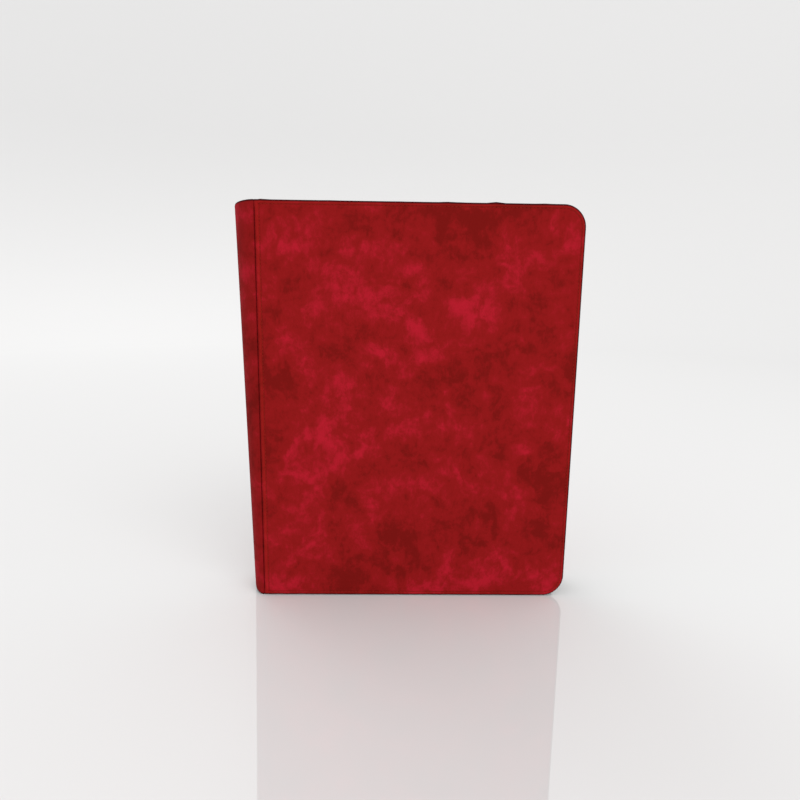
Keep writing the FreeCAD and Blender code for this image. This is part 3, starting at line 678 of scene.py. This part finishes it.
def cover_skin(side):
    """Skin of one cover, from the bottom of the crease over the padding to the hem inside the edges."""
    rows = rounded_panel(cover_columns(), CORNER, HEIGHT - CORNER, EDGE_OUT)
    points, shade_and_darkening, painted_highlight = [], [], []
    for row in rows:
        for x, z, ring in row:
            thin = thinness(x)
            rim_groove = seam_groove(EDGE[ring][0] - SEAM)
            z += math.copysign(hem_shift(ring, x), HEIGHT / 2 - z)
            bare = 1 - smooth((x - PANEL_EDGE) / (SEAM_LEFT - PANEL_EDGE))  # no seam at the crease
            depth = crease_depth(x, z) - edge_drop(ring, thin)
            depth += bare * rim_groove * (1 - (1 - THIN) * thin)
            depth -= left_seam(x, z)
            depth += ripple(x, z, side) if ring < len(FLAT_RINGS) else 0.0
            points.append((x, side * depth, z + gather(x, z)))
            groove = max((1 - bare) * rim_groove, left_seam(x, z)) / SEAM_DEPTH
            # Painted shade at the edge, in the crease and in the seam's grooves.
            shade_and_darkening.append(cover_painted_shade(x, ring, groove))
            # Painted highlight on the crease's shoulder and the rim's roll.
            painted_highlight.append(cover_painted_highlight(x, ring))
    faces = grid_faces(len(rows), len(rows[0]), flip=side == BACK)
    shades = {"shade_and_darkening": shade_and_darkening, "painted_highlight": painted_highlight}
    piece = thicken(new_piece(SIDE_NAMES[side] + "_cover_skin", points, faces, SUEDE, shades), SKIN)
    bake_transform(piece)
    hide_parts(SIDE_NAMES[side] + "_skin")


# ---- spine ----


def spine_bulge(z):
    """How far the spine's middle stands out beyond the frame's at this height."""
    return BULGE_TAIL + BULGE_SLOPE * z


def spine_curve(depth_in, z):
    """Points of the spine's outline seen from the head, this far inside its outer face, front to back."""
    out = SHOULDER_X - SPINE_BACK + spine_bulge(z) - depth_in
    half = SHOULDER_Y - depth_in
    turns = spread(-math.pi / 2, math.pi / 2, math.pi / 40)
    return [(SHOULDER_X - out * math.cos(turn), half * math.sin(turn)) for turn in turns]


def spine_outline(z):
    """The outer outline with the crease's near wall at both ends: (x, y, and the direction inward)."""
    wall = []
    floor = crease_floor(z)
    for share in (0.0, 0.3, 0.6, 0.85):  # from the bottom of the crease up to the shoulder
        x = CREASE_BOTTOM + (SHOULDER_X - CREASE_BOTTOM) * share
        wall.append((x, floor + (SHOULDER_Y - floor) * math.sin(share * math.pi / 2)))
    out = SHOULDER_X - SPINE_BACK + spine_bulge(z)
    curve = []
    for x, y in spine_curve(0.0, z):
        steep = Vector(((SHOULDER_X - x) / out**2, -y / SHOULDER_Y**2)).normalized()
        curve.append((x, y, steep.x, steep.y))
    front = [(x, -y, 0.0, 1.0) for x, y in wall]
    return front + curve + [(x, y, 0.0, -1.0) for x, y in wall[::-1]]


def end_dip(y, z):
    """How far the spine sinks at the head, and rises where negative at the tail, most in the middle."""
    middle = math.cos(min(1.0, abs(y) / SHOULDER_Y) * math.pi / 2)
    reach = HEIGHT * 0.1
    head, tail = smooth((z - HEIGHT + reach) / reach), smooth((reach - z) / reach)
    return middle ** 0.8 * (HEAD_DIP * head - TAIL_RISE * tail)


def spine_cover():
    """Skin of the spine between the two creases, its edges turned in at head and tail."""
    up = [(CORNER, ring, -1) for ring in range(len(EDGE) - 1, 0, -1)]
    up += [(z, 0, 0) for z in spread(CORNER, HEIGHT - CORNER, GRID)]
    up += [(HEIGHT - CORNER, ring, 1) for ring in range(1, len(EDGE))]
    points, shade_and_darkening = [], []
    for base_z, ring, way in up:
        inset, _ = EDGE[ring]
        z = base_z + way * (EDGE_OUT[ring] - hem_shift(ring, CREASE_BOTTOM))
        outline = spine_outline(z)
        for index, (x, y, in_x, in_y) in enumerate(outline):
            drop = edge_drop(ring, 1.0) - THIN * seam_groove(inset - SEAM)
            points.append((x + in_x * drop, y + in_y * drop, z - end_dip(y, z)))
            from_crease = min(index, len(outline) - 1 - index)
            crease = smooth(1 - from_crease / 9)
            middle = smooth(1 - abs(y) / (0.7 * SHOULDER_Y))
            # Painted shade at the edges and in the creases; the spine's middle, and all of it a little,
            # are also made darker.
            shade_and_darkening.append(max(edge_painted_shade(ring), 0.18 * crease, 0.3 * middle, 0.12))
    faces = grid_faces(len(up), len(spine_outline(0.0)), flip=True)
    shades = {"shade_and_darkening": shade_and_darkening, "painted_highlight": [0.0] * len(points)}
    piece = thicken(new_piece("spine_cover", points, faces, SUEDE, shades), SKIN)
    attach(piece, "spine")
    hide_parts("spine_skin")


def spine_layer(name, outer, inner, reach, low, high, material):
    """A layer bent round inside the spine, from outer to inner below its face, out to reach in y."""
    sections = []
    for z in spread(low, high, GRID):
        curves = [[p for p in spine_curve(depth, z) if abs(p[1]) < reach] for depth in (outer, inner)]
        loop = curves[0] + curves[1][::-1]
        sections.append([(x, y, z - end_dip(y, z)) for x, y in loop])
    piece = joined_piece(name, [loft(sections)], material)
    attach(piece, "spine")
    return piece


def spine_padding():
    """Thin foam under the spine's skin."""
    low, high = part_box("spine_pad")
    top = high.z - 1 * MM
    layer = (SPINE_PAD_OUT, SPINE_PAD_IN, SPINE_PAD_HALF)
    piece = spine_layer("spine_padding", *layer, low.z, top, FOAM)
    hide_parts("spine_pad")


def spine_inner_lining():
    """Lining of the inside of the spine, over the hems at head and tail."""
    low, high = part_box("spine_lining")
    bottom, top = low.z + SPINE_LINING_SHORT, high.z - SPINE_LINING_SHORT
    layer = (SPINE_LINING_OUT, SPINE_LINING_IN, SPINE_LINING_HALF)
    piece = spine_layer("spine_inner_lining", *layer, bottom, top, LINING)
    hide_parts("spine_lining")


def binding_bed():
    """The base in the spine that the guards are glued to: flat in front, its back bent to the lining."""
    sections = []
    for z in spread(BASE_LOW.z, BASE_HIGH.z, GRID):
        back = [p for p in spine_curve(BED_BACK, z) if abs(p[1]) < BASE_HIGH.y]
        loop = back + [(BASE_HIGH.x, back[-1][1]), (BASE_HIGH.x, back[0][1])]
        sections.append([(x, y, z) for x, y in loop])
    piece = joined_piece("binding_bed", [loft(sections)], BED)
    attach(piece, "spine")
    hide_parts("binding_base")


def end_tab(end):
    """The folded tab of webbing over the ends of the tapes, its back bent to the lining."""
    low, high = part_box("zip_end_tab_" + end)
    middle, half = (low.z + high.z) / 2, (high.z - low.z) / 2
    sections = []
    for angle in spread(-math.pi / 2, math.pi / 2, math.pi / 8):
        pull = half * 0.8 * (1 - math.cos(angle))
        back = [p for p in spine_curve(TAB_BACK + pull, middle) if abs(p[1]) < high.y]
        reach = (high.y - pull) / high.y
        front_x = high.x - pull
        loop = back + [(front_x, back[-1][1]), (front_x, 0.0), (front_x, back[0][1])]
        sections.append([(x, y * reach, middle + half * math.sin(angle)) for x, y in loop])
    piece = joined_piece("end_tab_" + end, [loft(sections)], TAB)
    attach(piece, "spine")
    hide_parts("zip_end_tab_" + end)


# ---- things that follow the rim of a cover ----


def rim_station(distance, inset, left):
    """Where a line at this inset along head, fore-edge and tail is after this distance from left on the
    head: (x, z, and the direction outward)."""
    radius = CORNER - inset
    centre = FORE_EDGE - CORNER
    straight = centre - left
    arc = radius * math.pi / 2
    side = HEIGHT - 2 * CORNER
    if distance <= straight:
        return (left + distance, HEIGHT - inset, 0.0, 1.0)
    distance -= straight
    if distance <= arc:
        out_x, out_z = math.sin(distance / radius), math.cos(distance / radius)
        return (centre + radius * out_x, HEIGHT - CORNER + radius * out_z, out_x, out_z)
    distance -= arc
    if distance <= side:
        return (FORE_EDGE - inset, HEIGHT - CORNER - distance, 1.0, 0.0)
    distance -= side
    if distance <= arc:
        out_x, out_z = math.cos(distance / radius), -math.sin(distance / radius)
        return (centre + radius * out_x, CORNER + radius * out_z, out_x, out_z)
    return (centre - (distance - arc), inset, 0.0, -1.0)


def rim_length(inset, left):
    """Length of that line."""
    return 2 * (FORE_EDGE - CORNER - left) + math.pi * (CORNER - inset) + HEIGHT - 2 * CORNER


def stitch(middle, along, out, length, radius):
    """One stitch that rises out of the skin and dives back in."""
    line, radii = [], []
    for share in (-0.5, -0.36, -0.12, 0.12, 0.36, 0.5):
        sink = radius * 1.5 * (2 * share) ** 4
        line.append(Vector(middle) + Vector(along) * length * share - Vector(out) * sink)
        radii.append(radius * (0.45 if abs(share) == 0.5 else 1.0))
    return tube(line, radii, 6)


def seam_stitches(side):
    """The row of stitches sunk in the groove round a cover."""
    pitch, length, radius = 3.1 * MM, 2.5 * MM, 0.3 * MM
    above = 0.12 * MM  # height of the thread's middle over the groove's bottom
    depth = side * (FACE - SEAM_DEPTH + above)
    out = (0, side, 0)
    total = rim_length(SEAM, SEAM_LEFT)
    places = []
    for index in range(int(total / pitch)):
        x, z, nx, nz = rim_station((index + 0.5) * pitch, SEAM, SEAM_LEFT)
        places.append(((x, depth, z), (nz, 0, -nx)))
    for z in spread(SEAM + pitch, HEIGHT - SEAM - pitch, pitch):
        places.append(((SEAM_LEFT, depth, z), (0, 0, 1)))
    parts = [stitch(middle, along, out, length, radius) for middle, along in places]
    piece = joined_piece(SIDE_NAMES[side] + "_seam_stitches", parts, SEAM_THREAD)
    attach(piece, SIDE_NAMES[side] + "_cover")
    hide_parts(SIDE_NAMES[side] + "_stitching")


def tape_section():
    """Zip tape seen along its length: a flange sewn to the cover, and a wall on it: (inset, depth)."""
    flat, wall, wall_in = INSIDE, TAPE_INSET, TAPE_INSET + TAPE_WALL
    section = [(TAPE_FLANGE_EDGE, flat), (TAPE_FLANGE_EDGE, flat - TAPE_FLANGE)]
    bend_x, bend_y = wall - TAPE_BEND, flat - 0.6 * MM - TAPE_BEND  # middle of the bend
    for angle in spread(0, math.pi / 2, math.pi / 10):
        section.append((bend_x + TAPE_BEND * math.sin(angle), bend_y + TAPE_BEND * math.cos(angle)))
    round_in, round_up = 0.15 * MM, 0.3 * MM  # rounding of the free edge
    section += [(wall, TAPE_LIP + round_up), (wall + round_in, TAPE_LIP)]
    section += [(wall_in - round_in, TAPE_LIP), (wall_in, TAPE_LIP + round_up)]
    section += [(wall_in, flat - TAPE_BEND), (wall_in - 0.1 * MM, flat - 0.2 * MM)]
    return section + [(wall_in - 0.5 * MM, flat)]


def zip_tape(side):
    """Tape of one cover, with a strip of its own along and across it for the weave."""
    section = tape_section()
    lengths = [0.0]
    for (a, b), (c, d) in zip(section, section[1:]):
        lengths.append(lengths[-1] + math.hypot(c - a, d - b))
    total = rim_length(TAPE_INSET, TAPE_LEFT)
    sections, along, across = [], [], []
    for distance in spread(0, total, 2.5 * MM):
        x, z, nx, nz = rim_station(distance, TAPE_INSET, TAPE_LEFT)
        loop = []
        for (inset, depth), length in zip(section, lengths):
            out = TAPE_INSET - inset
            place = Vector((distance / (20 * MM), depth / (10 * MM), side * 5.0))
            free = smooth((INSIDE - depth) / (6 * MM)) * smooth(depth / (6 * MM))
            out += TAPE_WANDER * noise.noise(place) * free
            loop.append((x + nx * out, side * depth, z + nz * out))
            along.append(distance)
            across.append(length)
        sections.append(loop)
    values = {"along": along, "across": across}
    piece = settle(new_piece(SIDE_NAMES[side] + "_tape", *loft(sections), TAPE, values))
    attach(piece, SIDE_NAMES[side] + "_cover")
    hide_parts(SIDE_NAMES[side] + "_zip_tape")


def zip_coil(side):
    """One row of the coil: a filament wound in flattened turns, its heads between the other row's."""
    left = COIL_LEFT[side]
    total = rim_length(COIL_INSET, left)
    shift = 0.0 if side == FRONT else COIL_PITCH / 2  # so that the two rows mesh
    start = (left - min(COIL_LEFT.values())) % COIL_PITCH
    line = []
    for index in range(int((total - 2 * COIL_PITCH) / COIL_PITCH * COIL_STEPS)):
        distance = index * COIL_PITCH / COIL_STEPS
        turn = 2 * math.pi * (distance + shift + start) / COIL_PITCH
        x, z, nx, nz = rim_station(distance, COIL_INSET, left)
        out = COIL_HALF_HEIGHT * math.cos(turn)
        depth = COIL_DEPTH - COIL_HALF_WIDTH * math.sin(turn)
        line.append((x + nx * out, side * depth, z + nz * out))
    filament = tube(line, [FILAMENT] * len(line), 6)
    piece = joined_piece(SIDE_NAMES[side] + "_coil", [filament], COIL)
    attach(piece, SIDE_NAMES[side] + "_cover")
    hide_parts(SIDE_NAMES[side] + "_zip_coil")


def coil_stitches(side):
    """Two lines of chain stitch that hold the coil to the tape."""
    left = COIL_LEFT[side]
    total = rim_length(COIL_INSET, left)
    parts = []
    for depth in COIL_THREAD_DEPTHS:
        line = []
        for index in range(int((total - 2 * COIL_PITCH) / COIL_PITCH * 4)):
            distance = index * COIL_PITCH / 4
            x, z, nx, nz = rim_station(distance, COIL_INSET, left)
            out = COIL_HALF_HEIGHT + FILAMENT + (0.02 if index % 4 < 2 else -0.1) * MM
            line.append((x + nx * out, side * depth, z + nz * out))
        parts.append(tube(line, [COIL_THREAD] * len(line), 5))
    piece = joined_piece(SIDE_NAMES[side] + "_coil_thread", parts, BINDING_THREAD)
    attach(piece, SIDE_NAMES[side] + "_cover")


# ---- linings ----


def cover_lining(side):
    """Lining of a cover's inside, which goes on over the crease and under the spine's lining."""
    edge_z = HEIGHT - LINING_HIGH.z
    thick, sag_depth = 0.5 * MM, 0.5 * MM
    radius = CORNER - edge_z
    rings = [radius * share for share in (0.0, 0.3, 0.55, 0.75, 0.9, 1.0)]
    left = SHOULDER_X - 0.6 * MM
    columns = spread(left, TAPE_LEFT, 0.7 * MM) + spread(TAPE_LEFT, FORE_EDGE - CORNER, GRID)[1:]
    rows = rounded_panel(columns, CORNER, HEIGHT - CORNER, rings)
    points = []
    for row in rows:
        for x, z, _ in row:
            over_crease = min(1.0, max(0.0, (x - left) / (TAPE_LEFT - left)))
            sag = sag_depth * math.sin(math.pi * over_crease)
            points.append((x, side * (LINING_LOW.y + thick * 0.2 - sag), z))
    faces = grid_faces(len(rows), len(rows[0]), flip=side == FRONT)
    piece = new_piece(SIDE_NAMES[side] + "_inner_lining", points, faces, LINING)
    thicken(piece, thick)
    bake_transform(piece)
    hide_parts(SIDE_NAMES[side] + "_lining")


# ---- leaves ----


def leaf_axis(name):
    """Where a leaf's hinge is, from its joint."""
    return JOINTS[name + "_hinge"]["pos_m"]


def leaf_sheet(name):
    """The black sheet of a leaf, waving a little away from its hinge, its edge tucked into the guards."""
    low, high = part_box(name)
    axis_x, axis_y, _ = leaf_axis(name)
    left, base = axis_x - 0.5 * MM, high.x - LEAF_CORNER
    rings = [0.0, 2.0 * MM, 3.6 * MM, 4.6 * MM, LEAF_CORNER]
    columns = spread(left, axis_x + 2 * MM, 0.5 * MM) + spread(axis_x + 2 * MM, base, 11 * MM)[1:]
    rows = rounded_panel(columns, low.z + LEAF_CORNER, high.z - LEAF_CORNER, rings, 12 * MM)
    points = []
    for row in rows:
        for x, z, _ in row:
            # The last coordinate makes each leaf's waves its own.
            wave = noise.noise(Vector((x / (70 * MM), z / (90 * MM), axis_y * 900)))
            lie = SHEET_WAVE * wave * smooth((x - axis_x - 4 * MM) / (30 * MM))
            points.append((x, axis_y - LEAF_SHEET / 2 + lie, z))
    faces = grid_faces(len(rows), len(rows[0]))
    piece = thicken(new_piece(name + "_sheet", points, faces, SHEET), LEAF_SHEET)
    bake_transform(piece)
    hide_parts(name)


def pocket(x, z, y, side):
    """A clear pocket: film welded flat along three sides, slightly puffed, and open along the left."""
    across, up = 7, 9  # steps
    outer, inner = [], []
    for row in range(up + 1):
        for column in range(across + 1):
            u, v = column / across, row / up
            puff = math.sin(math.pi * u) ** 0.5 * math.sin(math.pi * v) ** 0.5
            open_side = 0.25 * (1 - u) * math.sin(math.pi * v) ** 0.5
            lift = FILM_PUFF * max(puff, open_side)
            at_x, at_z = x + u * POCKET_WIDTH, z + v * POCKET_HEIGHT
            outer.append((at_x, y + side * (lift + FILM), at_z))
            inner.append((at_x, y + side * lift, at_z))
    count = len(outer)
    faces = grid_faces(up + 1, across + 1)
    faces += grid_faces(up + 1, across + 1, flip=True, start=count)
    width = across + 1
    rim = list(range(width)) + [row * width + across for row in range(1, up + 1)]
    rim += [up * width + column for column in range(across - 1, -1, -1)]
    rim += [row * width for row in range(up - 1, 0, -1)]
    for first, second in zip(rim, rim[1:] + rim[:1]):
        faces.append((first, count + first, count + second, second))
    return outer + inner, faces


def leaf_films(name):
    """Eighteen clear pockets, nine on each face of a leaf."""
    low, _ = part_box(name)
    axis_x, axis_y, _ = leaf_axis(name)
    parts = []
    for side in (FRONT, BACK):
        for column in range(3):
            for row in range(3):
                x = axis_x + LEAF_MARGIN + WELD + column * (POCKET_WIDTH + WELD)
                z = low.z + WELD + row * (POCKET_HEIGHT + WELD)
                y = axis_y + side * (LEAF_SHEET / 2 + FILM_GAP)
                parts.append(pocket(x, z, y, side))
    piece = joined_piece(name + "_films", parts, FILM_CLEAR)
    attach(piece, name)


# ---- CAD nodes that stay ----


def finish_node(name, material, width=0.0):
    """Gives a CAD node its material and, with a width, softens its edges."""
    node = frame["nodes"][name]
    node.data.materials.clear()
    node.data.materials.append(material)
    node.data.polygons.foreach_set("use_smooth", [width > 0] * len(node.data.polygons))
    if not width:
        return
    weld = node.modifiers.new("weld", "WELD")
    weld.merge_threshold = 0.001 * MM
    flat = node.modifiers.new("flat faces", "DECIMATE")
    flat.decimate_type = "DISSOLVE"
    flat.angle_limit = math.radians(2)
    soften = node.modifiers.new("soft edges", "BEVEL")
    soften.width = width
    soften.segments = 3
    soften.limit_method = "ANGLE"
    soften.angle_limit = math.radians(35)
    soften.harden_normals = True


def finish_nodes():
    """Materials for every CAD node that isn't replaced."""
    finish_node("slider_body", METAL, 0.12 * MM)
    finish_node("slider_bail", METAL, 0.25 * MM)
    finish_node("puller_tab", METAL, 0.25 * MM)
    for side in SIDE_NAMES.values():
        finish_node(side + "_zip_stops", METAL, 0.3 * MM)
        finish_node(side + "_foam", FOAM)
        finish_node(side + "_board", BOARD)
    finish_node("binding_guards", GUARD, 0.15 * MM)
    finish_node("binding_thread", TAB)


# ---- stage ----


def turned_surface(name, profile, material):
    """A surface of revolution about the vertical axis, for the stage."""
    turns = 96
    points = []
    for radius, z in profile:
        for index in range(turns):
            turn = 2 * math.pi * index / turns
            points.append((radius * math.cos(turn), radius * math.sin(turn), z))
    made = new_piece(name, points, band_faces(len(profile), turns), material)
    return made


def stage():
    """A round floor that curves up into a wall, so that no horizon shows from any side."""
    radius, cove, wall = 2.2, 1.0, 2.4
    finish = floor_finish()
    turned_surface("studio_floor", [(share * radius, 0.0) for share in (0.0, 0.2, 0.5, 1.0)], finish)
    curve = [
        (radius + cove * math.sin(angle), cove * (1 - math.cos(angle)))
        for angle in spread(0, math.pi / 2, math.pi / 24)
    ]
    backdrop = turned_surface("studio_wall", curve + [(radius + cove, wall)], finish)
    # The wall is only looked at: the light comes through it from all round.
    backdrop.visible_diffuse = False
    backdrop.visible_glossy = False
    backdrop.visible_shadow = False


def soft_light(name, place, aim, size, power):
    """A large soft box."""
    light = bpy.data.lights.new(name, "AREA")
    light.shape = "SQUARE"
    light.size = size
    light.energy = power
    made = bpy.data.objects.new(name, light)
    made.location = place
    made.visible_camera = False
    made.visible_glossy = False  # so that the floor doesn't mirror the lamp
    made.rotation_euler = (Vector(aim) - Vector(place)).to_track_quat("-Z", "Y").to_euler()
    bpy.context.scene.collection.objects.link(made)


def world_light(strength):
    """Even white light from all round."""
    world = bpy.data.worlds.new("studio")
    world.use_nodes = True
    background = world.node_tree.nodes["Background"]
    background.inputs["Color"].default_value = (1.0, 1.0, 1.0, 1.0)
    background.inputs["Strength"].default_value = strength
    bpy.context.scene.world = world


def camera():
    """The viewpoint: a little above the middle, almost square on, turned and rolled by about a degree."""
    place = Vector((-0.0198, -0.5707, 0.2883))
    yaw, pitch, roll = math.radians(-1.22), math.radians(11.03), math.radians(0.80)
    ahead = Vector((-math.sin(yaw) * math.cos(pitch), math.cos(yaw) * math.cos(pitch), -math.sin(pitch)))
    right = Vector((math.cos(yaw), math.sin(yaw), 0))
    up = right.cross(ahead)
    rolled_right = right * math.cos(roll) + up * math.sin(roll)
    rolled_up = up * math.cos(roll) - right * math.sin(roll)
    data = bpy.data.cameras.new("camera")
    data.sensor_width = 36
    data.lens = 29.42
    made = bpy.data.objects.new("camera", data)
    turn = Matrix((rolled_right, rolled_up, -ahead)).transposed().to_4x4()
    made.matrix_world = Matrix.Translation(place) @ turn
    bpy.context.scene.collection.objects.link(made)
    bpy.context.scene.camera = made


# ---- putting it together ----

camera()
world_light(0.92)
aim = (0, 0, 0.17)
soft_light("key", (1.5, -2.7, 2.5), aim, size=2.7, power=46)
soft_light("fill_behind", (-1.5, 2.9, 2.4), aim, size=2.7, power=29)
bpy.context.scene.view_settings.view_transform = "Standard"
stage()

finish_nodes()
spine_cover()
spine_padding()
spine_inner_lining()
binding_bed()
for end in ("head", "tail"):
    end_tab(end)
for side in (FRONT, BACK):
    cover_skin(side)
    seam_stitches(side)
    cover_lining(side)
    zip_tape(side)
    zip_coil(side)
    coil_stitches(side)
for name in LEAVES:
    leaf_sheet(name)
    leaf_films(name)
